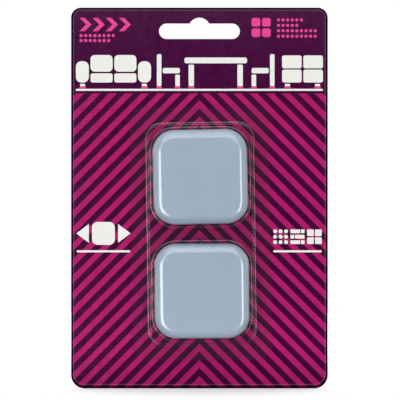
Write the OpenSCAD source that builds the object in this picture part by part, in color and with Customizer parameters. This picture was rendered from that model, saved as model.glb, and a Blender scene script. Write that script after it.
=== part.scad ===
// Carded pack of four square furniture sliders: a die-cut hang card, a clear thermoformed blister
// sealed to its face, and two stacks of two self-adhesive sliding pads in the blister's pockets.
// The pack hangs as in a shop: Z is up, the front looks along -Y, and the origin is the middle of
// the hang slot on the card's back face. Pieces are drawn lying on the card, with Y up the card
// and Z out of its front, and module hung() stands them up.

/* [Card] */
// Width of the card
card_w = 123; // [90:0.5:160]
// Height of the card
card_h = 182.5; // [165:0.5:260]
// Thickness of the paperboard
card_t = 0.6; // [0.4:0.05:1.2]
// Radius of the two upper corners
card_top_r = 4.8; // [2:0.1:10]
// Radius of the two lower corners
card_bottom_r = 6.4; // [2:0.1:12]

/* [Hang slot] */
// Length of the slot from end to end
slot_w = 38.7; // [30:0.1:45]
// Height of the slot's straight arms
slot_h = 7.4; // [6:0.1:9]
// Depth of the slot's middle below the card's top edge
slot_drop = 11.3; // [10:0.1:16]
// Radius of the rounded crown where the peg bears
crown_r = 5.3; // [4.8:0.1:6.5]
// Height of the crown's centre above the slot's middle
crown_lift = 1.2; // [0.5:0.1:2]

/* [Pads] */
// Width and height of a sliding pad
pad_w = 45; // [40:0.5:50]
// Radius of a pad's corners, seen from the front
pad_corner_r = 10.4; // [8:0.1:13]
// Space between the two stacks
pad_gap = 9.3; // [7:0.1:12]
// Thickness of the glide cap's face
cap_face_t = 2; // [1.4:0.1:3]
// Height of the glide cap's rim behind its face
cap_rim_h = 2.8; // [2:0.1:4]
// Thickness of the glide cap's rim
cap_rim_t = 1.8; // [1.2:0.1:2.4]
// Rounding of the glide cap's front edge
cap_edge_r = 4.4; // [2:0.1:4.6]
// Lean of the glide cap's side, for release from the mould
cap_draft = 1.5; // [0:0.5:3]
// Clearance round the cushion inside the rim
cushion_clear = 0.2; // [0.1:0.05:0.5]
// Height of the cushion that stands out behind the rim
cushion_proud = 1.2; // [0.6:0.1:3]
// Thickness of the adhesive layer
adhesive_t = 0.25; // [0.1:0.05:0.8]
// Margin from the cushion's edge to the adhesive's edge
adhesive_inset = 0.6; // [0.2:0.1:2]
// Thickness of the paper release liner
liner_t = 0.15; // [0.08:0.01:0.3]
// Turn of the upper stack in its pocket
upper_turn = 0.55; // [-0.7:0.05:0.7]
// Turn of the lower stack in its pocket
lower_turn = -0.65; // [-0.7:0.05:0.7]

/* [Blister] */
// Thickness of the clear sheet
sheet_t = 0.35; // [0.25:0.01:0.4]
// Width of the flange that is sealed to the card
flange_w = 8; // [5:0.5:12]
// Radius of the flange's corners
flange_corner_r = 7; // [3:0.5:12]
// Height of the low shelf that joins the pockets
shelf_h = 5; // [3:0.5:7]
// Reach of the shelf past the pads at the sides
shelf_side = 2.8; // [2.6:0.1:4]
// Reach of the shelf past the pads at the ends
shelf_end = 3.1; // [2.5:0.1:5]
// Radius of the shelf's corners
shelf_corner_r = 7; // [5:0.5:9]
// Clearance between a pad's side and its pocket at the top
pocket_clear = 0.3; // [0.2:0.05:0.5]
// Clearance between the front pad's face and its pocket
face_clear = 0.3; // [0.2:0.05:1]
// Lean of the blister's walls
wall_draft = 3; // [1:0.5:4]
// Rounding of the shelf's edge, outside
shelf_edge_r = 0.5; // [0.4:0.1:0.9]
// Rounding where a wall rises from the flange or the shelf
foot_r = 0.75; // [0.4:0.05:0.9]
// Distance of the blister's middle below the hang slot
seal_drop = 97; // [85:0.1:110]
// Distance of the blister's middle to the right of the hang slot
seal_side = 0.8; // [-3:0.1:3]
// Turn of the sealed blister on the card
seal_skew = 0.8; // [-2:0.05:2]

/* [Hidden] */
$fn = 96;
// Reach of a cut past the faces that it goes through
cut_over = 1;
// A quarter turn, for each corner's sweep
quarter = 90;
// Steps along a rounded top edge and along a rounded foot
edge_steps = 8;
foot_steps = 4;
// Signs of the two sides of a middle line
sides = [-1, 1];

// Layers of one pad, counted from the surface that it lies on
adhesive_z = liner_t;
cushion_z = adhesive_z + adhesive_t;
cushion_t = cushion_proud + cap_rim_h;
cap_z = cushion_z + cushion_proud;
cap_h = cap_rim_h + cap_face_t;
pad_h = cap_z + cap_h;

// Corner radii of the pieces behind the cap's face
tray_r = pad_corner_r - cap_rim_t;
cushion_r = tray_r - cushion_clear;
adhesive_r = cushion_r - adhesive_inset;

// Places of the four pads
pad_pitch = pad_w + pad_gap;
pad_span = pad_w - 2 * pad_corner_r;
rear_z = card_t;
front_z = rear_z + pad_h;
PLACES = [
    ["upper_front", pad_pitch / 2, front_z, upper_turn],
    ["upper_rear", pad_pitch / 2, rear_z, upper_turn],
    ["lower_front", -pad_pitch / 2, front_z, lower_turn],
    ["lower_rear", -pad_pitch / 2, rear_z, lower_turn]
];
PIECES = ["glide_cap", "cushion", "adhesive", "liner"];

// The blister's forms, measured outside from the card's face
pocket_h = front_z + pad_h + face_clear + sheet_t - card_t;
pocket_rise = pocket_h - shelf_h;
// The pockets' front edges follow the caps' rounding at the sides' clearance
pocket_edge_r = cap_edge_r + pocket_clear + sheet_t;
pocket_top_r = pad_corner_r + pocket_clear + sheet_t / cos(wall_draft);
pocket_r = pocket_top_r + (pocket_rise - pocket_edge_r) * tan(wall_draft);
shelf_w = pad_w + 2 * shelf_side;
shelf_l = pad_pitch + pad_w + 2 * shelf_end;
shelf_span = [shelf_w - 2 * shelf_corner_r, shelf_l - 2 * shelf_corner_r];
shelf_rise = shelf_h - sheet_t;
flange_span = [
    shelf_w + 2 * flange_w - 2 * flange_corner_r,
    shelf_l + 2 * flange_w - 2 * flange_corner_r
];

// Stands what is drawn on the flat card upright, front towards -Y
module hung() {
    rotate([90, 0, 0])
        children();
}

// Puts the blister and the pads where they are sealed on the card
module sealed() {
    hung()
        translate([seal_side, -seal_drop, 0])
            rotate(seal_skew)
                children();
}

// Sweeps a half profile round a rectangle whose corners turn about the ends of span
module swept_wall(span) {
    for (side = [0:3]) {
        across = span[side % 2];
        along = span[(side + 1) % 2];
        rotate(side * quarter) {
            translate([across / 2, 0, 0])
                rotate([quarter, 0, 0])
                    linear_extrude(along, center = true)
                        children();
            translate([across / 2, along / 2, 0])
                rotate_extrude(angle = quarter)
                    children();
        }
    }
}

// The same sweep with its middle filled
module swept_block(span, rise) {
    translate([-span[0] / 2, -span[1] / 2, 0])
        cube([span[0], span[1], rise]);
    swept_wall(span)
        children();
}

// Half profile of a straight-sided slab
module slab_profile(r, rise) {
    square([r, rise]);
}

// Points along an arc about a centre, from one angle to another
function arc(centre, r, from, to, steps) = [
    for (i = [0:steps])
        let (a = from + (to - from) * i / steps)
            centre + r * [cos(a), sin(a)]
];

// Centre of the rounding at the top edge of a leaning wall that reaches r at its base
function edge_centre(r, rise, draft, edge_r) = [
    r - (rise - edge_r) * tan(draft) - edge_r / cos(draft),
    rise - edge_r
];

// Reach of a formed wall's foot, where its hollow rounding runs out on the flat
function foot_reach(r) = r + foot_r * (1 / cos(wall_draft) - tan(wall_draft));

// Half profile of a leaning wall with a rounded top edge
module wall_profile(r, rise, draft, edge_r) {
    polygon(concat(
        [[0, 0], [r, 0]],
        arc(edge_centre(r, rise, draft, edge_r), edge_r, draft, quarter, edge_steps),
        [[0, rise]]
    ));
}

// Half profile of the sheet, from the flat at its foot up the wall to its flat top
module sheet_profile(r, rise, edge_r) {
    foot = [foot_reach(r), foot_r];
    edge = edge_centre(r, rise, wall_draft, edge_r);
    inner_r = edge_r - sheet_t;
    inner_foot_r = foot_r + sheet_t;
    polygon(concat(
        arc(foot, foot_r, 3 * quarter, 2 * quarter + wall_draft, foot_steps),
        arc(edge, edge_r, wall_draft, quarter, edge_steps),
        [[0, rise], [0, rise - sheet_t]],
        arc(edge, inner_r, quarter, wall_draft, edge_steps),
        arc(foot, inner_foot_r, 2 * quarter + wall_draft, 3 * quarter, foot_steps)
    ));
}

// A rise formed in the sheet: its wall all round, and its flat top
module formed_rise(span, r, rise, edge_r) {
    swept_wall(span)
        sheet_profile(r, rise, edge_r);
    translate([-span[0] / 2, -span[1] / 2, rise - sheet_t])
        cube([span[0], span[1], sheet_t]);
}

// The flange, open where the shelf rises from it
module flange() {
    difference() {
        swept_block(flange_span, sheet_t)
            slab_profile(flange_corner_r, sheet_t);
        translate([0, 0, -cut_over])
            swept_block(shelf_span, sheet_t + 2 * cut_over)
                slab_profile(foot_reach(shelf_corner_r), sheet_t + 2 * cut_over);
    }
}

// The shelf, open where the two pockets rise from it
module shelf() {
    difference() {
        translate([0, 0, sheet_t])
            formed_rise(shelf_span, shelf_corner_r, shelf_rise, shelf_edge_r);
        for (side = sides)
            translate([0, side * pad_pitch / 2, shelf_rise])
                swept_block([pad_span, pad_span], 2 * sheet_t)
                    slab_profile(foot_reach(pocket_r), 2 * sheet_t);
    }
}

// The two pockets that stand on the shelf
module pockets() {
    for (side = sides)
        translate([0, side * pad_pitch / 2, shelf_h])
            formed_rise([pad_span, pad_span], pocket_r, pocket_rise, pocket_edge_r);
}

// Half of the card about the hang slot's middle, drawn to the right of the slot
module card_half() {
    right = card_w / 2;
    top = slot_drop;
    bottom = slot_drop - card_h;
    linear_extrude(card_t)
        polygon([
            [0, top],
            [right - card_top_r, top],
            [right - card_top_r, top - card_top_r],
            [right, top - card_top_r],
            [right, bottom + card_bottom_r],
            [right - card_bottom_r, bottom + card_bottom_r],
            [right - card_bottom_r, bottom],
            [0, bottom]
        ]);
    translate([right - card_top_r, top - card_top_r, 0])
        cylinder(h = card_t, r = card_top_r);
    translate([right - card_bottom_r, bottom + card_bottom_r, 0])
        cylinder(h = card_t, r = card_bottom_r);
}

// The hang slot's punch: two round-ended arms under a crown that centres the peg
module slot_punch() {
    arm = (slot_w - slot_h) / 2;
    depth = card_t + 2 * cut_over;
    translate([0, 0, -cut_over]) {
        translate([-arm, -slot_h / 2, 0])
            cube([2 * arm, slot_h, depth]);
        for (side = sides)
            translate([side * arm, 0, 0])
                cylinder(h = depth, r = slot_h / 2);
        intersection() {
            translate([0, crown_lift, 0])
                cylinder(h = depth, r = crown_r);
            translate([-crown_r, 0, 0])
                cube([2 * crown_r, crown_lift + crown_r, depth]);
        }
    }
}

// Die-cut paperboard card with the hang slot punched through it
module backing_card() {
    color("#4A0D45")
        hung()
            difference() {
                union() {
                    card_half();
                    mirror([1, 0, 0])
                        card_half();
                }
                slot_punch();
            }
}

// Clear sheet formed into a flange, a low shelf and two pockets
module blister_shell() {
    color([0.9, 0.95, 1, 0.35])
        sealed()
            translate([0, 0, card_t]) {
                flange();
                shelf();
                pockets();
            }
}

// Moulded low-friction cap: a rounded face over a shallow tray that is open behind
module glide_cap() {
    color("#9DB0C2")
        translate([0, 0, cap_z])
            difference() {
                swept_block([pad_span, pad_span], cap_h)
                    wall_profile(pad_corner_r, cap_h, cap_draft, cap_edge_r);
                translate([0, 0, -cut_over])
                    swept_block([pad_span, pad_span], cap_rim_h + cut_over)
                        slab_profile(tray_r, cap_rim_h + cut_over);
            }
}

// Rubber cushion seated in the cap's tray and standing a little proud of its rim
module cushion() {
    color("#26262A")
        translate([0, 0, cushion_z])
            swept_block([pad_span, pad_span], cushion_t)
                slab_profile(cushion_r, cushion_t);
}

// Adhesive layer on the cushion's back
module adhesive() {
    color("#D9CFA8")
        translate([0, 0, adhesive_z])
            swept_block([pad_span, pad_span], adhesive_t)
                slab_profile(adhesive_r, adhesive_t);
}

// Paper release liner that covers the adhesive until the pad is used
module liner() {
    color("#F2F1EC")
        swept_block([pad_span, pad_span], liner_t)
            slab_profile(cushion_r, liner_t);
}

// One piece of the pad at a place
module pad_piece(place, piece) {
    sealed()
        translate([0, place[1], place[2]])
            rotate(place[3])
                if (piece == "glide_cap") glide_cap();
                else if (piece == "cushion") cushion();
                else if (piece == "adhesive") adhesive();
                else liner();
}

backing_card();
blister_shell();
for (place = PLACES)
    for (piece = PIECES)
        pad_piece(place, piece);
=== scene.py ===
from math import atan2, cos, pi, radians, sqrt, tan

import bmesh
import bpy
from mathutils import Matrix, Vector


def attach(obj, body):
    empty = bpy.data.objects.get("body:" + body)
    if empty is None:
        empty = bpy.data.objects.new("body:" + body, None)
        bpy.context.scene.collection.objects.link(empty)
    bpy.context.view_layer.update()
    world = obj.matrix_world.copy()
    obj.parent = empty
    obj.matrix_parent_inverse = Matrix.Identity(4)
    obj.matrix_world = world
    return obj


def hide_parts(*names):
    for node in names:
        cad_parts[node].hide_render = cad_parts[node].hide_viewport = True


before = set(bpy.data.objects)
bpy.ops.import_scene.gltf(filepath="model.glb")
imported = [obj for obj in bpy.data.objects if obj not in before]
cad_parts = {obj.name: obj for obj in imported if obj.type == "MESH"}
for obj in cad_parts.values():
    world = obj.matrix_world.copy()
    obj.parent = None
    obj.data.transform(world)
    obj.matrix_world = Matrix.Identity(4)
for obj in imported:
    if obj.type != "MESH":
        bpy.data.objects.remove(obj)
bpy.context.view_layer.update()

# Glide caps: one for each of the four sliders, injection-moulded in blue-grey low-friction polymer.
# The face is flat with a broad rounded edge, and a rim behind it makes a shallow tray.
# The sliders lie in two stacks of two, a little turned on the card with the blister and in its pockets.
MM = 0.001
STAND_UP = Matrix.Rotation(pi / 2, 4, "X")
SEALED_PLACE = (0.8 * MM, -97 * MM, 0)
SEALED_TURN = radians(0.8)
SEALED = STAND_UP @ Matrix.Translation(SEALED_PLACE) @ Matrix.Rotation(SEALED_TURN, 4, "Z")
CARD_THICKNESS = 0.6 * MM
PAD_WIDTH = 45 * MM
PAD_CORNER = 10.4 * MM
PAD_PITCH = 54.3 * MM
PAD_HEIGHT = 6.4 * MM
CAP_BASE = 1.6 * MM
CAP_HEIGHT = 4.8 * MM
CAP_EDGE = 4.4 * MM
CAP_RIM = 1.8 * MM
CAP_DRAFT = radians(1.5)
TRAY_DEPTH = 2.8 * MM
PAD_CORNER_STEPS = 24
CAP_EDGE_STEPS = 12
LEVEL_TOLERANCE = 0.01 * MM
SHARP_BEND = radians(40)
STACKS = {"upper": (PAD_PITCH / 2, radians(0.55)), "lower": (-PAD_PITCH / 2, radians(-0.65))}
LAYERS = {"front": CARD_THICKNESS + PAD_HEIGHT, "rear": CARD_THICKNESS}
SLIDERS = {f"{stack}_{layer}": SEALED @ Matrix.Translation((0, up, out)) @ Matrix.Rotation(turn, 4, "Z")
           for stack, (up, turn) in STACKS.items() for layer, out in LAYERS.items()}
MIX_BY, MIX_A, MIX_B, MIX_OUT = 0, 6, 7, 2  # a Mix node's sockets for colours
NOISE_RANGE = {"From Min": 0.3, "From Max": 0.7}  # where most of a noise's values lie


def linear(hex_colour):
    """An sRGB hex colour as the linear colour that a shader takes."""
    channels = [int(hex_colour[i:i + 2], 16) / 255 for i in (1, 3, 5)]
    return [c / 12.92 if c <= 0.04045 else ((c + 0.055) / 1.055) ** 2.4 for c in channels] + [1]


def new_material(name):
    """A material with nothing in it but its output."""
    material = bpy.data.materials.new(name)
    material.use_nodes = True
    material.node_tree.nodes.clear()
    material.node_tree.nodes.new("ShaderNodeOutputMaterial")
    return material


def add_node(owner, kind, settings=None, inputs=None):
    """Adds a node to a material or world, with its settings and a value or link for each input."""
    tree = owner.node_tree
    node = tree.nodes.new("ShaderNode" + kind)
    for name, value in (settings or {}).items():
        setattr(node, name, value)
    for key, value in (inputs or {}).items():
        if isinstance(value, bpy.types.NodeSocket):
            tree.links.new(value, node.inputs[key])
        else:
            node.inputs[key].default_value = value
    return node


def show(owner, shader):
    """Links a shader to the output of a material or world."""
    output = [n for n in owner.node_tree.nodes if n.type.startswith("OUTPUT_")][0]
    owner.node_tree.links.new(shader.outputs[0], output.inputs["Surface"])


def add_piece(name, bm, place, materials, nodes=(), sharp=SHARP_BEND):
    """Makes a finished mesh a piece of the pack, in its place, for the CAD nodes it stands for.

    A sheet's open edges are sharp too, so that its face and its cut rim are shaded apart.
    """
    bmesh.ops.transform(bm, matrix=place, verts=bm.verts)
    mesh = bpy.data.meshes.new(name)
    bm.to_mesh(mesh)
    bm.edges.index_update()
    open_edges = [edge.index for edge in bm.edges if edge.is_boundary]
    bm.free()
    for material in materials:
        mesh.materials.append(material)
    mesh.shade_smooth()
    mesh.set_sharp_from_angle(angle=sharp)
    for index in open_edges:
        mesh.edges[index].use_edge_sharp = True
    piece = bpy.data.objects.new(name, mesh)
    bpy.context.scene.collection.objects.link(piece)
    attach(piece, "root")
    if nodes:
        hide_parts(*nodes)
    return piece


def even_shading(piece):
    """Keeps flat faces flat beside their rounded edges."""
    piece.modifiers.new("even shading", "WEIGHTED_NORMAL").keep_sharp = True


def pad_block(base, height, width, corner, steps):
    """A square block with round corners, standing on its base height."""
    bm = bmesh.new()
    bmesh.ops.create_cube(bm, size=1)
    bmesh.ops.scale(bm, vec=(width, width, height), verts=bm.verts)
    bmesh.ops.translate(bm, vec=(0, 0, base + height / 2), verts=bm.verts)
    uprights = [e for e in bm.edges if abs(e.verts[0].co.z - e.verts[1].co.z) > height / 2]
    bmesh.ops.bevel(bm, geom=uprights, affect="EDGES", offset=corner, segments=steps, profile=0.5,
                    material=-1)
    return bm


def rim_edges(bm, height):
    """The edges that lie at one height."""
    return [e for e in bm.edges if all(abs(v.co.z - height) < LEVEL_TOLERANCE for v in e.verts)]


# Satin polymer: even colour with faint flow marks from the mould, and a fine spark-eroded skin.
# The skin's grain is drawn at 0.35 mm, coarser than it is, so that it shows.
cap_polymer = new_material("satin_moulded_polymer")
place = add_node(cap_polymer, "TexCoord").outputs["Object"]
flow = add_node(cap_polymer, "TexNoise", None, {"Vector": place, "Scale": 1 / (14 * MM), "Detail": 2})
tint = add_node(cap_polymer, "Mix", {"data_type": "RGBA"},
                {MIX_BY: flow.outputs[0], MIX_A: linear("#AABED0"), MIX_B: linear("#B0C3D5")})
spark = add_node(cap_polymer, "TexNoise", None, {"Vector": place, "Scale": 1 / (0.35 * MM), "Detail": 2})
satin = add_node(cap_polymer, "MapRange", None,
                 {"Value": spark.outputs[0], **NOISE_RANGE, "To Min": 0.3, "To Max": 0.37})
skin = add_node(cap_polymer, "Bump", None,
                {"Strength": 0.06, "Distance": 0.02 * MM, "Height": spark.outputs[0]})
show(cap_polymer, add_node(cap_polymer, "BsdfPrincipled", None, {
    "Base Color": tint.outputs[MIX_OUT], "Roughness": satin.outputs[0], "Normal": skin.outputs[0],
    "IOR": 1.5}))

for slider, lift in SLIDERS.items():
    bm = pad_block(CAP_BASE, CAP_HEIGHT, PAD_WIDTH, PAD_CORNER, PAD_CORNER_STEPS)
    cap_top = CAP_BASE + CAP_HEIGHT
    face_verts = [v for v in bm.verts if v.co.z > CAP_BASE + CAP_HEIGHT / 2]
    narrow = 1 - 2 * CAP_HEIGHT * tan(CAP_DRAFT) / PAD_WIDTH
    bmesh.ops.scale(bm, vec=(narrow, narrow, 1), verts=face_verts)
    bmesh.ops.bevel(bm, geom=rim_edges(bm, cap_top), affect="EDGES", offset=CAP_EDGE,
                    segments=CAP_EDGE_STEPS, profile=0.5, material=-1)
    back = [min(bm.faces, key=lambda f: f.calc_center_median().z)]
    bmesh.ops.inset_region(bm, faces=back, thickness=CAP_RIM, use_even_offset=True)
    tray = bmesh.ops.extrude_discrete_faces(bm, faces=back)["faces"]
    bmesh.ops.translate(bm, vec=(0, 0, TRAY_DEPTH), verts=tray[0].verts)
    bmesh.ops.recalc_face_normals(bm, faces=bm.faces)
    cap = add_piece(f"{slider}_cap", bm, lift, (cap_polymer,), (f"{slider}_glide_cap",))
    even_shading(cap)

# Cushions: die-cut pads of dense closed-cell rubber, pressed into the caps' trays and glued there.
# The band that stands out behind the rim swells a little under the clamp of the glue line.
CUSHION_BASE = 0.4 * MM
CUSHION_HEIGHT = 4 * MM
CUSHION_PROUD = 1.2 * MM
CUSHION_WIDTH = 41 * MM
CUSHION_CORNER = 8.4 * MM
CUSHION_SWELL = 0.12 * MM
CUSHION_CORNER_STEPS = 16
SWELL_STEPS = 4

# Closed-cell rubber: nearly black and matt, pitted with fine cells where the die cut through them.
# Each cell is painted darker towards its middle, where its pit is deepest: painted shade in the pits.
rubber = new_material("closed_cell_rubber")
place = add_node(rubber, "TexCoord").outputs["Object"]
cells = add_node(rubber, "TexVoronoi", None, {"Vector": place, "Scale": 1 / (0.5 * MM)})
shade = add_node(rubber, "MapRange", None,
                 {"Value": cells.outputs["Distance"], "From Min": 0.1, "From Max": 0.7})
dark = add_node(rubber, "Mix", {"data_type": "RGBA"},
                {MIX_BY: shade.outputs[0], MIX_A: linear("#1C1C1F"), MIX_B: linear("#34343A")})
pores = add_node(rubber, "Bump", None,
                 {"Strength": 0.5, "Distance": 0.08 * MM, "Height": cells.outputs["Distance"]})
show(rubber, add_node(rubber, "BsdfPrincipled", None, {
    "Base Color": dark.outputs[MIX_OUT], "Roughness": 0.85, "Normal": pores.outputs[0], "IOR": 1.5}))

for slider, lift in SLIDERS.items():
    bm = pad_block(CUSHION_BASE, CUSHION_HEIGHT, CUSHION_WIDTH, CUSHION_CORNER, CUSHION_CORNER_STEPS)
    for step in range(1, SWELL_STEPS + 1):
        level = CUSHION_BASE + step / SWELL_STEPS * CUSHION_PROUD
        bmesh.ops.bisect_plane(bm, geom=bm.verts[:] + bm.edges[:] + bm.faces[:], plane_co=(0, 0, level),
                               plane_no=(0, 0, 1))
    for vert in bm.verts:
        share = (vert.co.z - CUSHION_BASE) / CUSHION_PROUD
        if 0 < share < 1:
            grown = 1 + 2 * CUSHION_SWELL * (1 - (2 * share - 1) ** 2) / CUSHION_WIDTH
            bmesh.ops.scale(bm, vec=(grown, grown, 1), verts=[vert])
    pad = add_piece(f"{slider}_rubber", bm, lift, (rubber,), (f"{slider}_cushion",))

# Adhesive layers: a transfer film of clear amber acrylic that holds each slider to a furniture leg.
# They are flat and seen only edge on, so the CAD solids stay and get the film's look: pale, glossy and
# a little streaked by the coating.
adhesive = new_material("amber_acrylic_adhesive")
place = add_node(adhesive, "TexCoord").outputs["Object"]
streak = add_node(adhesive, "TexNoise", None, {"Vector": place, "Scale": 1 / (2 * MM), "Detail": 4})
amber = add_node(adhesive, "Mix", {"data_type": "RGBA"},
                 {MIX_BY: streak.outputs[0], MIX_A: linear("#CDBF8C"), MIX_B: linear("#E2D9B4")})
tack = add_node(adhesive, "MapRange", None,
                {"Value": streak.outputs[0], **NOISE_RANGE, "To Min": 0.18, "To Max": 0.35})
show(adhesive, add_node(adhesive, "BsdfPrincipled", None, {
    "Base Color": amber.outputs[MIX_OUT], "Roughness": tack.outputs[0], "IOR": 1.47}))

# Release liners: siliconised white paper over each adhesive, peeled off before use.
# They too are flat sheets, so the CAD solids stay and get a smooth off-white with a faint fibre.
liner = new_material("siliconised_liner_paper")
place = add_node(liner, "TexCoord").outputs["Object"]
fibre = add_node(liner, "TexNoise", None, {"Vector": place, "Scale": 1 / (0.8 * MM), "Detail": 6})
paper = add_node(liner, "Mix", {"data_type": "RGBA"},
                 {MIX_BY: fibre.outputs[0], MIX_A: linear("#E6E3DA"), MIX_B: linear("#F7F6F2")})
calender = add_node(liner, "Bump", None,
                    {"Strength": 0.2, "Distance": 0.02 * MM, "Height": fibre.outputs[0]})
show(liner, add_node(liner, "BsdfPrincipled", None, {
    "Base Color": paper.outputs[MIX_OUT], "Roughness": 0.42, "Normal": calender.outputs[0], "IOR": 1.45}))

for slider in SLIDERS:
    for layer, material in (("adhesive", adhesive), ("liner", liner)):
        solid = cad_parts[f"{slider}_{layer}"]
        solid.data.materials.clear()
        solid.data.materials.append(material)

# Blister shell: one sheet of clear PET, vacuum formed over a tool into two pockets on a low shelf.
# Its flange is heat sealed to the card, and every bend is rounded by the sheet's own stretch.
SHEET = 0.35 * MM
SEAL_GAP = 0.02 * MM
DRAFT = radians(3)
FLANGE_WIDTH = 8 * MM
FLANGE_CORNER = 7 * MM
SHELF_HEIGHT = 5 * MM
SHELF_SIZE = (50.6 * MM, 105.5 * MM)
SHELF_CORNER = 7 * MM
SHELF_EDGE = 0.5 * MM
POCKET_HEIGHT = 13.45 * MM
POCKET_CLEAR = 0.3 * MM
POCKET_EDGE = CAP_EDGE + POCKET_CLEAR + SHEET
FOOT = 0.75 * MM
LAND = 0.08 * MM  # flat strip left beside a bend
BEND_STEPS = 10
SEAL_STEPS = 20
FORMED_SHARP = radians(60)
DRAWN, BENT = 1, 2  # places among the blister's materials, after the flat sheet
PET_MIRRORS = 0.05
PET_MIRRORS_EDGE_ON = 0.15
GRAZE_POWER = 5
WHITE = (1, 1, 1, 1)


def outline(bm, size, corner, up, out):
    """A rounded rectangle as one face, drawn lying on the card."""
    verts = bmesh.ops.create_grid(bm, x_segments=1, y_segments=1, size=0.5)["verts"]
    bmesh.ops.scale(bm, vec=(size[0], size[1], 1), verts=verts)
    bmesh.ops.translate(bm, vec=(0, up, out), verts=verts)
    made = bmesh.ops.bevel(bm, geom=verts, affect="VERTICES", offset=corner, segments=SEAL_STEPS,
                           profile=0.5, material=-1)
    return max(made["verts"][0].link_faces, key=lambda f: f.calc_area())


def loop_of(bm, face):
    """Takes a face away and gives the edges of its outline."""
    edges = list(face.edges)
    bmesh.ops.delete(bm, geom=[face], context="FACES_ONLY")
    return edges


def formed_rise(bm, span, reach, rise, up, out, edge, closed):
    """A wall formed up from the sheet round a rounded rectangle, with its foot and its top edge bent."""
    turn = 1 / cos(DRAFT) - tan(DRAFT)
    top_reach = reach - rise * tan(DRAFT)
    reaches = [(reach + FOOT * turn + LAND, out), (reach, out), (top_reach, out + rise)]
    if not closed:
        reaches.append((top_reach - edge * turn - LAND, out + rise))
    loops = []
    for radius, height in reaches:
        face = outline(bm, (span[0] + 2 * radius, span[1] + 2 * radius), radius, up, height)
        last = closed and radius == top_reach
        loops.append(list(face.edges) if last else loop_of(bm, face))
    for lower, upper in zip(loops, loops[1:]):
        bmesh.ops.bridge_loops(bm, edges=lower + upper)
    for loop, radius, look in ((loops[1], FOOT, BENT), (loops[2], edge, DRAWN if closed else BENT)):
        bend = bmesh.ops.bevel(bm, geom=loop, affect="EDGES", offset=radius * turn, segments=BEND_STEPS,
                               profile=0.5, material=-1)
        for face in bend["faces"]:
            face.material_index = look


def clear_sheet(name, haze):
    """Clear sheet as a material: seen edge on, it mirrors more than seen straight, and takes some light."""
    sheet = new_material(name)
    slope = add_node(sheet, "LayerWeight", None, {"Blend": 0.5})
    graze = add_node(sheet, "Math", {"operation": "POWER"}, {0: slope.outputs["Facing"], 1: GRAZE_POWER})
    mirrored = add_node(sheet, "MapRange", None, {
        "Value": graze.outputs[0], "To Min": PET_MIRRORS, "To Max": PET_MIRRORS_EDGE_ON})
    depth = add_node(sheet, "Mix", {"data_type": "RGBA"},
                     {MIX_BY: graze.outputs[0], MIX_A: linear("#FEFEFE"), MIX_B: linear("#C0C0C0")})
    through = add_node(sheet, "BsdfTransparent", None, {"Color": depth.outputs[MIX_OUT]})
    mirror = add_node(sheet, "BsdfGlossy", None, {"Color": WHITE, "Roughness": haze})
    show(sheet, add_node(sheet, "MixShader", None,
                         {0: mirrored.outputs[0], 1: through.outputs[0], 2: mirror.outputs[0]}))
    return sheet


# Clear PET: a colourless sheet that shows mostly as bright and dark lines along its bends.
# It is clear where it stayed flat, and a little hazy where forming drew it round a bend.
flat_pet = clear_sheet("clear_PET_sheet", haze=0.06)
drawn_pet = clear_sheet("drawn_PET_edge", haze=0.2)
bent_pet = clear_sheet("stretched_PET_bend", haze=0.3)

bm = bmesh.new()
pad_span = PAD_WIDTH - 2 * PAD_CORNER
pocket_rise = POCKET_HEIGHT - SHELF_HEIGHT
pocket_reach = PAD_CORNER + POCKET_CLEAR + SHEET / cos(DRAFT) + (pocket_rise - POCKET_EDGE) * tan(DRAFT)
for up, _ in STACKS.values():
    formed_rise(bm, (pad_span, pad_span), pocket_reach, pocket_rise, up, SHELF_HEIGHT, POCKET_EDGE,
                closed=True)
shelf_span = [side - 2 * SHELF_CORNER for side in SHELF_SIZE]
formed_rise(bm, shelf_span, SHELF_CORNER, SHELF_HEIGHT - SHEET, 0, SHEET, SHELF_EDGE, closed=False)
shelf_rim = [e for e in rim_edges(bm, SHELF_HEIGHT) if e.is_boundary]
bmesh.ops.triangle_fill(bm, use_beauty=True, edges=shelf_rim)
flange_rim = [e for e in rim_edges(bm, SHEET) if e.is_boundary]
flange_size = [side + 2 * FLANGE_WIDTH for side in SHELF_SIZE]
flange_edge = loop_of(bm, outline(bm, flange_size, FLANGE_CORNER, 0, SHEET))
bmesh.ops.triangle_fill(bm, use_beauty=True, edges=flange_rim + flange_edge)
bmesh.ops.recalc_face_normals(bm, faces=bm.faces)
if max(bm.faces, key=lambda f: f.calc_center_median().z).normal.z < 0:
    bmesh.ops.reverse_faces(bm, faces=bm.faces)
shell = add_piece("clear_blister", bm, SEALED @ Matrix.Translation((0, 0, CARD_THICKNESS)),
                  (flat_pet, drawn_pet, bent_pet), ("blister_shell",), FORMED_SHARP)
wall = shell.modifiers.new("sheet thickness", "SOLIDIFY")
wall.thickness = SHEET - SEAL_GAP
wall.offset = -1
wall.use_even_offset = True
even_shading(shell)

# Backing card: one die-cut sheet of paperboard with a hang slot, offset printed and varnished in front and
# bare at the back. The die crushes the cut edge and presses a slope inside it, where the print is darkened
# as painted shade. Inside that lies a flat crease band, further in at the card's foot, where the print is
# lightened as a painted highlight line.
CARD_SIZE = (123 * MM, 182.5 * MM)
CARD_TOP_CORNER = 4.8 * MM
CARD_BOTTOM_CORNER = 6.4 * MM
SLOT_SIZE = (38.7 * MM, 7.4 * MM)
SLOT_DROP = 11.3 * MM
CROWN_RADIUS = 5.3 * MM
CROWN_LIFT = 1.2 * MM
CREASE_WIDTH = 0.45 * MM
PRESS_WIDTH = 1 * MM
PRESS_DEPTH = 0.1 * MM
FOOT_PRESS = 0.65 * MM
CRUSH_WIDTH = 0.9 * MM
CRUSH_DEPTH = 0.27 * MM
SLOT_CRUSH = 0.1 * MM
CARD_STEPS = 14
STRIPE_PITCH = 5.5 * MM
HEADER_FOOT = -29.8 * MM
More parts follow.
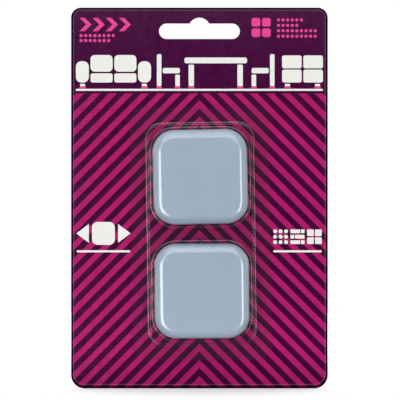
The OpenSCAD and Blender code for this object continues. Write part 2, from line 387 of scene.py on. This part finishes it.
INK_EDGE = 0.04 * MM
HALF_WAVE = STRIPE_PITCH * sqrt(2) / 2
CARD_SHARP = radians(4)
PRINT, CREASE, PRESSED, CRUSHED, BOARD = range(5)  # places among the card's materials


def card_outline(bm, inset, foot, out):
    """The card's outline as a loop of edges, set in from the cut edge, and further in at the foot."""
    verts = bmesh.ops.create_grid(bm, x_segments=1, y_segments=1, size=0.5)["verts"]
    bmesh.ops.scale(bm, vec=(CARD_SIZE[0] - 2 * inset, CARD_SIZE[1] - 2 * inset - foot, 1), verts=verts)
    corners = ((CARD_TOP_CORNER, [v for v in verts if v.co.y > 0]),
               (CARD_BOTTOM_CORNER, [v for v in verts if v.co.y < 0]))
    bmesh.ops.translate(bm, vec=(0, SLOT_DROP - (CARD_SIZE[1] - foot) / 2, out), verts=verts)
    for corner, ends in corners:
        made = bmesh.ops.bevel(bm, geom=ends, affect="VERTICES", offset=corner - inset,
                               segments=CARD_STEPS, profile=0.5, material=-1)
    return loop_of(bm, max(made["verts"][0].link_faces, key=lambda f: f.calc_area()))


def slot_outline(bm, grow, out):
    """The hang slot's outline, grown past the cut edge: two round ends and a crown between them."""
    half = SLOT_SIZE[1] / 2 + grow
    arm = (SLOT_SIZE[0] - SLOT_SIZE[1]) / 2
    crown_x = sqrt((CROWN_RADIUS + grow) ** 2 - (half - CROWN_LIFT) ** 2)
    lean = atan2(half - CROWN_LIFT, crown_x)
    arcs = (((arm, -half), (arm, 0), pi),
            ((crown_x, half), (0, CROWN_LIFT), pi - 2 * lean),
            ((-arm, half), (-arm, 0), pi))
    known = set(bm.edges)
    ends = []
    for start, centre, turn in arcs:
        first = bm.verts.new((*start, out))
        arc = bmesh.ops.spin(bm, geom=[first], cent=(*centre, out), axis=(0, 0, 1), angle=turn,
                             steps=2 * CARD_STEPS)
        last = [g for g in arc["geom_last"] if isinstance(g, bmesh.types.BMVert)][0]
        ends.append((first, last))
    for (_, last), (first, _) in zip(ends, ends[1:] + ends[:1]):
        bm.edges.new((last, first))
    return [e for e in bm.edges if e not in known]


def offset_print(name, painted_tone, share, shine):
    """The card's print as a material, with a colour of painted shade or painted highlight over a share of
    it, and some of its shine left.
    """
    ink = new_material(name)
    place = add_node(ink, "TexCoord").outputs["Object"]
    axes = add_node(ink, "SeparateXYZ", None, {0: place})
    aside = add_node(ink, "Math", {"operation": "ABSOLUTE"}, {0: axes.outputs["X"]})
    slant = add_node(ink, "Math", {"operation": "ADD"}, {0: aside.outputs[0], 1: axes.outputs["Z"]})
    wave = add_node(ink, "Math", {"operation": "PINGPONG"}, {0: slant.outputs[0], 1: HALF_WAVE})
    stripe = add_node(ink, "MapRange", None, {
        "Value": wave.outputs[0],
        "From Min": HALF_WAVE / 2 - INK_EDGE, "From Max": HALF_WAVE / 2 + INK_EDGE})
    header = add_node(ink, "MapRange", None, {
        "Value": axes.outputs["Z"],
        "From Min": HEADER_FOOT - INK_EDGE, "From Max": HEADER_FOOT + INK_EDGE})
    stripes = add_node(ink, "Mix", {"data_type": "RGBA"},
                       {MIX_BY: stripe.outputs[0], MIX_A: linear("#420035"), MIX_B: linear("#AF1B69")})
    inks = add_node(ink, "Mix", {"data_type": "RGBA"},
                    {MIX_BY: header.outputs[0], MIX_A: stripes.outputs[MIX_OUT], MIX_B: linear("#45003B")})
    fibres = add_node(ink, "TexNoise", None, {"Vector": place, "Scale": 1 / (3 * MM), "Detail": 5})
    mottle = add_node(ink, "MapRange", None,
                      {"Value": fibres.outputs[0], **NOISE_RANGE, "To Min": 0.93, "To Max": 1.06})
    printed = add_node(ink, "Mix", {"data_type": "RGBA", "blend_type": "MULTIPLY"},
                       {MIX_BY: 1.0, MIX_A: inks.outputs[MIX_OUT], MIX_B: mottle.outputs[0]})
    painted_light_mix = add_node(ink, "Mix", {"data_type": "RGBA"},
                    {MIX_BY: share, MIX_A: printed.outputs[MIX_OUT], MIX_B: linear(painted_tone)})
    varnish = add_node(ink, "MapRange", None,
                       {"Value": fibres.outputs[0], **NOISE_RANGE, "To Min": 0.12, "To Max": 0.17})
    grain = add_node(ink, "TexNoise", None, {"Vector": place, "Scale": 1 / (0.4 * MM), "Detail": 3})
    tooth = add_node(ink, "Bump", None,
                     {"Strength": 0.03, "Distance": 0.02 * MM, "Height": grain.outputs[0]})
    show(ink, add_node(ink, "BsdfPrincipled", None, {
        "Base Color": painted_light_mix.outputs[MIX_OUT], "Roughness": varnish.outputs[0], "Normal": tooth.outputs[0],
        "IOR": 1.45, "Specular IOR Level": shine}))
    return ink


# Offset inks on coated board: flat colours with crisp edges, and a faint mottle from the board's fibres.
# A plum header stands over chevrons of magenta and dark plum, 5.5 mm from stripe to stripe.
print_ink = offset_print("varnished_offset_print", painted_tone="#000000", share=0, shine=0.5)
# The crease band is the print lightened, a painted highlight line; the pressed slope and the crushed rim
# are the print darkened, painted shade where the edge turns away from the light.
crease_highlight_ink = offset_print("crease_painted_highlight_print", painted_tone="#D8A8D0", share=0.12, shine=0.5)
pressed_shade_ink = offset_print("pressed_rim_painted_shade_print", painted_tone="#10000D", share=0.5, shine=0.3)
crushed_shade_ink = offset_print("crushed_rim_painted_shade_print", painted_tone="#0A0008", share=0.95, shine=0)

# Bare board: recycled pulp, matt, with darker flecks and a soft felt mark.
board = new_material("bare_grey_paperboard")
place = add_node(board, "TexCoord").outputs["Object"]
pulp = add_node(board, "TexNoise", None, {"Vector": place, "Scale": 1 / (1.2 * MM), "Detail": 6})
tone = add_node(board, "Mix", {"data_type": "RGBA"},
                {MIX_BY: pulp.outputs[0], MIX_A: linear("#C9C3B7"), MIX_B: linear("#DCD7CC")})
fleck = add_node(board, "TexVoronoi", None, {"Vector": place, "Scale": 1 / (2.2 * MM)})
specks = add_node(board, "MapRange", None,
                  {"Value": fleck.outputs["Distance"], "From Min": 0.05, "From Max": 0.12})
flecked = add_node(board, "Mix", {"data_type": "RGBA"},
                   {MIX_BY: specks.outputs[0], MIX_A: linear("#A59D90"), MIX_B: tone.outputs[MIX_OUT]})
felt = add_node(board, "Bump", None, {"Strength": 0.25, "Distance": 0.03 * MM, "Height": pulp.outputs[0]})
show(board, add_node(board, "BsdfPrincipled", None, {
    "Base Color": flecked.outputs[MIX_OUT], "Roughness": 0.85, "Normal": felt.outputs[0]}))

bm = bmesh.new()
crushed_level = CARD_THICKNESS - CRUSH_DEPTH
rims = [card_outline(bm, inset, foot, out) for inset, foot, out in (
    (PRESS_WIDTH + CREASE_WIDTH, FOOT_PRESS, CARD_THICKNESS), (PRESS_WIDTH, FOOT_PRESS, CARD_THICKNESS),
    (CRUSH_WIDTH, 0, CARD_THICKNESS - PRESS_DEPTH), (0, 0, crushed_level), (0, 0, 0))]
slots = [slot_outline(bm, grow, out)
         for grow, out in ((SLOT_CRUSH, CARD_THICKNESS), (0, crushed_level), (0, 0))]
for loops, looks in ((rims, (CREASE, PRESSED, CRUSHED, BOARD)), (slots, (PRINT, BOARD))):
    for look, above, below in zip(looks, loops, loops[1:]):
        for face in bmesh.ops.bridge_loops(bm, edges=above + below)["faces"]:
            face.material_index = look
for end, look in ((0, PRINT), (-1, BOARD)):
    fill = bmesh.ops.triangle_fill(bm, use_beauty=True, edges=rims[end] + slots[end])
    for face in fill["geom"]:
        if isinstance(face, bmesh.types.BMFace):
            face.material_index = look
bmesh.ops.recalc_face_normals(bm, faces=bm.faces)
add_piece("printed_card", bm, STAND_UP, (print_ink, crease_highlight_ink, pressed_shade_ink, crushed_shade_ink, board),
          ("backing_card",), CARD_SHARP)

# Printed marks: opaque inks laid over the card's colours as plates about 0.015 mm thick. A furniture row on
# pink pads stands in the header under chevrons, squares and dots, with signs for sliding and for floors at
# the blister's sides. Sizes are in mm on the card: left, foot, width, height and corner, or points.
INK_FILM = 0.015 * MM
MARK_STEPS = 6
SOFA = ((0, 1.8, 6.2, 10.2, 2.6), (29.8, 1.8, 6.2, 10.2, 2.6), (7, 7, 10.6, 8, 2), (18.4, 7, 10.6, 8, 2),
        (7, 1.8, 10.6, 4.4, 1), (18.4, 1.8, 10.6, 4.4, 1), (2, 0, 2.4, 1.2, 0.2), (31.6, 0, 2.4, 1.2, 0.2))
CHAIR = ((0, 0, 2.2, 15.4, 0.7), (2.8, 6.2, 8.2, 2.6, 0.8), (8.8, 0, 2.2, 5.6, 0.5))
FACING_CHAIR = ((8.8, 0, 2.2, 15.4, 0.7), (0, 6.2, 8.2, 2.6, 0.8), (0, 0, 2.2, 5.6, 0.5))
TABLE = ((0, 11, 30, 2.8, 0.9), (2, 0, 2.6, 10.4, 0.5), (25.4, 0, 2.6, 10.4, 0.5))
DRESSER = ((0, 1.8, 9.4, 6.2, 1), (10.2, 1.8, 9.4, 6.2, 1), (0, 8.6, 9.4, 6.2, 1), (10.2, 8.6, 9.4, 6.2, 1),
           (1.4, 0, 2.4, 1.2, 0.2), (15.8, 0, 2.4, 1.2, 0.2))
FURNITURE = ((-59.2, SOFA), (-20.4, CHAIR), (-7.2, TABLE), (25, FACING_CHAIR), (39.6, DRESSER))
ROW_FOOT = -26.4
FOOT_PAD_OVERHANG = 0.4
FOOT_PAD_DROP = 1
FOOT_PAD_HEIGHT = 0.8
FOOT_PAD_CORNER = 0.3
FLOOR_LINES = ((-59.2, -28.6, 118.4, 1, 0.4), (-58.8, -106, 25.6, 1, 0.4), (35.4, -106, 23.2, 1, 0.4))
SLIDING_PAD = ((-51.5, -102.4, 11, 11, 2.7),)
SLIDING_ARROWS = (((-59, -96.9), (-53, -101.4), (-53, -92.4)), ((-33, -96.9), (-39, -92.4), (-39, -101.4)))
PILE = tuple((x, foot, 1.8, 1.8, 0.7) for x in (35.4, 38, 40.6) for foot in (-102, -99.4, -96.8))
PLANKS = ((43.6, -102, 4.6, 1.8, 0.2), (48.6, -102, 1.8, 1.8, 0.2), (43.6, -99.4, 1.8, 1.8, 0.2),
          (45.8, -99.4, 4.6, 1.8, 0.2), (43.6, -96.8, 4.6, 1.8, 0.2), (48.6, -96.8, 1.8, 1.8, 0.2))
TILES = tuple((x, foot, 3.2, 3.2, 0.3) for x in (51.6, 55.4) for foot in (-102, -98.2))
SQUARES = tuple((x, foot, 4.2, 4.2, 1.1) for x in (25, 30) for foot in (-2.8, 2.2))
CHEVRONS = tuple(((x, 0), (x + 2.6, 0), (x + 5.8, 3.2), (x + 2.6, 6.4), (x, 6.4), (x + 3.2, 3.2))
                 for x in (-57.5, -51.2, -44.9, -38.6))
DOT_ROWS = ((-57.4, -2.8, 8), (-57.4, -5.2, 7), (37.2, 4.7, 6), (37.2, 2.1, 5), (37.2, -0.5, 9),
            (37.2, -3.1, 9))
DOT = (1.4, 1.4, 0.4)
DOT_PITCH = 2.2


def add_mark(bm, *plate):
    """One printed plate, given by its left, foot, width, height and corner on the card."""
    left, foot, width, height, corner = [side * MM for side in plate]
    verts = bmesh.ops.create_grid(bm, x_segments=1, y_segments=1, size=0.5)["verts"]
    bmesh.ops.scale(bm, vec=(width, height, 1), verts=verts)
    bmesh.ops.translate(bm, vec=(left + width / 2, foot + height / 2, CARD_THICKNESS), verts=verts)
    bmesh.ops.bevel(bm, geom=verts, affect="VERTICES", offset=corner, segments=MARK_STEPS, profile=0.5,
                    material=-1)


def add_shape(bm, points):
    """One printed plate with straight sides, given by its points on the card."""
    bm.faces.new([bm.verts.new((x * MM, y * MM, CARD_THICKNESS)) for x, y in points])


def ink_piece(name, bm, colour, spread):
    """Gives the printed plates the ink's thickness and its look, a flat colour with a soft sheen."""
    material = new_material(name + "_ink")
    place = add_node(material, "TexCoord").outputs["Object"]
    roller = add_node(material, "TexNoise", None, {"Vector": place, "Scale": 1 / (1.5 * MM), "Detail": 4})
    laid = add_node(material, "Mix", {"data_type": "RGBA"},
                    {MIX_BY: roller.outputs[0], MIX_A: linear(colour), MIX_B: linear(spread)})
    sheen = add_node(material, "MapRange", None,
                     {"Value": roller.outputs[0], **NOISE_RANGE, "To Min": 0.38, "To Max": 0.5})
    show(material, add_node(material, "BsdfPrincipled", None, {
        "Base Color": laid.outputs[MIX_OUT], "Roughness": sheen.outputs[0], "IOR": 1.48}))
    bmesh.ops.recalc_face_normals(bm, faces=bm.faces)
    for face in bm.faces:
        if face.normal.z < 0:
            face.normal_flip()
    top = bmesh.ops.extrude_face_region(bm, geom=bm.faces[:])["geom"]
    top_verts = [g for g in top if isinstance(g, bmesh.types.BMVert)]
    bmesh.ops.translate(bm, vec=(0, 0, INK_FILM), verts=top_verts)
    bmesh.ops.recalc_face_normals(bm, faces=bm.faces)
    add_piece(name, bm, STAND_UP, (material,))


white_marks = bmesh.new()
pink_marks = bmesh.new()
for plate in FLOOR_LINES + SLIDING_PAD + PILE + PLANKS + TILES:
    add_mark(white_marks, *plate)
for arrow in SLIDING_ARROWS:
    add_shape(white_marks, arrow)
for left, plates in FURNITURE:
    for x, foot, width, height, corner in plates:
        add_mark(white_marks, left + x, ROW_FOOT + foot, width, height, corner)
        # A leg that reaches the floor stands on a pad.
        if foot == 0:
            add_mark(pink_marks, left + x - FOOT_PAD_OVERHANG, ROW_FOOT - FOOT_PAD_DROP,
                     width + 2 * FOOT_PAD_OVERHANG, FOOT_PAD_HEIGHT, FOOT_PAD_CORNER)
for plate in SQUARES:
    add_mark(pink_marks, *plate)
for chevron in CHEVRONS:
    add_shape(pink_marks, chevron)
for left, foot, count in DOT_ROWS:
    for i in range(count):
        add_mark(pink_marks, left + i * DOT_PITCH, foot, *DOT)
ink_piece("white_print", white_marks, "#ECECE6", "#F4F4EF")
ink_piece("pink_print", pink_marks, "#E2288A", "#EB3394")

# Floor: a round sheet of pale paper that the card stands on, mostly behind it.
# It isn't part of the pack, and keeps the pack's shadow.
ROOM_LEVEL = 0.06
FLOOR_RADIUS = 0.36
FLOOR_STEPS = 96
FLOOR_MIDDLE = (0, 0.31, SLOT_DROP - CARD_SIZE[1])
SHADE_MIDDLE = (0, 0.03, FLOOR_MIDDLE[2])
SHADE_NEAR = 0.05
SHADE_FAR = 0.25
SHADE_GLOW = 0.3
floor_mesh = bpy.data.meshes.new("floor")
bm = bmesh.new()
bmesh.ops.create_circle(bm, cap_ends=True, radius=FLOOR_RADIUS, segments=FLOOR_STEPS)
bmesh.ops.translate(bm, vec=FLOOR_MIDDLE, verts=bm.verts)
bm.to_mesh(floor_mesh)
bm.free()
floor = bpy.data.objects.new("floor", floor_mesh)
bpy.context.scene.collection.objects.link(floor)

# Pale paper: white where it runs out of sight, and a shade darker by the card, where it takes its shadow.
pale = new_material("pale_studio_paper")
place = add_node(pale, "TexCoord").outputs["Object"]
away = add_node(pale, "VectorMath", {"operation": "DISTANCE"}, {0: place, 1: SHADE_MIDDLE})
spread = add_node(pale, "MapRange", None, {
    "Value": away.outputs["Value"], "From Min": SHADE_NEAR, "From Max": SHADE_FAR, "To Min": SHADE_GLOW})
rays = add_node(pale, "LightPath")
glow = add_node(pale, "Math", {"operation": "MULTIPLY"},
                {0: rays.outputs["Is Camera Ray"], 1: spread.outputs[0]})
paper = add_node(pale, "BsdfPrincipled", None, {
    "Base Color": linear("#F0F0EE"), "Roughness": 0.9, "Specular IOR Level": 0,
    "Emission Color": WHITE, "Emission Strength": glow.outputs[0]})
dim = add_node(pale, "Emission", None, {"Color": WHITE, "Strength": ROOM_LEVEL})
show(pale, add_node(pale, "MixShader", None,
                    {0: rays.outputs["Is Glossy Ray"], 1: paper.outputs[0], 2: dim.outputs[0]}))
floor_mesh.materials.append(pale)

# Studio: a white backdrop behind the card, and a dim room behind the camera for the sheet to mirror.
# Four softboxes face the card: a strip at each side, a large box above and a low one over the camera.
# Each lamp has its place, its width and height, and its power in watts.
BACKDROP_START = -0.4
BACKDROP_FULL = 0.15
LAMP_AIM = (0, 0, -0.08)
LAMPS = {"left_strip": ((-0.48, -1.0, -0.27), (0.52, 0.6), 5.3),
         "right_strip": ((0.56, -0.97, -0.27), (0.26, 0.6), 3.2),
         "top_box": ((0, -0.75, 0.62), (1.2, 1.0), 5.1),
         "brow_strip": ((0, -1.1, 0.24), (0.7, 0.16), 0.65)}

world = bpy.data.worlds.new("studio")
bpy.context.scene.world = world
world.use_nodes = True
world.node_tree.nodes.clear()
world.node_tree.nodes.new("ShaderNodeOutputWorld")
way = add_node(world, "SeparateXYZ", None, {0: add_node(world, "TexCoord").outputs["Generated"]})
backdrop = add_node(world, "MapRange", None, {
    "Value": way.outputs["Y"], "From Min": BACKDROP_START, "From Max": BACKDROP_FULL, "To Min": ROOM_LEVEL})
rays = add_node(world, "LightPath")
seen = add_node(world, "Math", {"operation": "MAXIMUM"},
                {0: rays.outputs["Is Camera Ray"], 1: rays.outputs["Is Transmission Ray"]})
level = add_node(world, "Math", {"operation": "MAXIMUM"}, {0: seen.outputs[0], 1: backdrop.outputs[0]})
show(world, add_node(world, "Background", None, {"Color": WHITE, "Strength": level.outputs[0]}))

for name, (spot, size, power) in LAMPS.items():
    lamp = bpy.data.lights.new(name, "AREA")
    lamp.shape = "RECTANGLE"
    lamp.size, lamp.size_y = size
    lamp.energy = power
    softbox = bpy.data.objects.new(name, lamp)
    softbox.location = spot
    softbox.rotation_euler = (Vector(LAMP_AIM) - Vector(spot)).to_track_quat("-Z", "Y").to_euler()
    bpy.context.scene.collection.objects.link(softbox)

# Camera: straight on to the card from about a metre, as on a copy stand.
# The height of its view is the frame's height at the card's front face.
CAMERA_DISTANCE = 0.98
CAMERA_SIDE = 0.28 * MM
CAMERA_LEVEL = -80.9 * MM
VIEW_HEIGHT = 191.7 * MM
SENSOR = 36

camera_data = bpy.data.cameras.new("camera")
camera_data.sensor_width = SENSOR
camera_data.lens = SENSOR * CAMERA_DISTANCE / VIEW_HEIGHT
camera = bpy.data.objects.new("camera", camera_data)
camera.location = (CAMERA_SIDE, -CAMERA_DISTANCE - CARD_THICKNESS, CAMERA_LEVEL)
camera.rotation_euler = (pi / 2, 0, 0)
bpy.context.scene.collection.objects.link(camera)
bpy.context.scene.camera = camera
bpy.context.scene.view_settings.view_transform = "Standard"
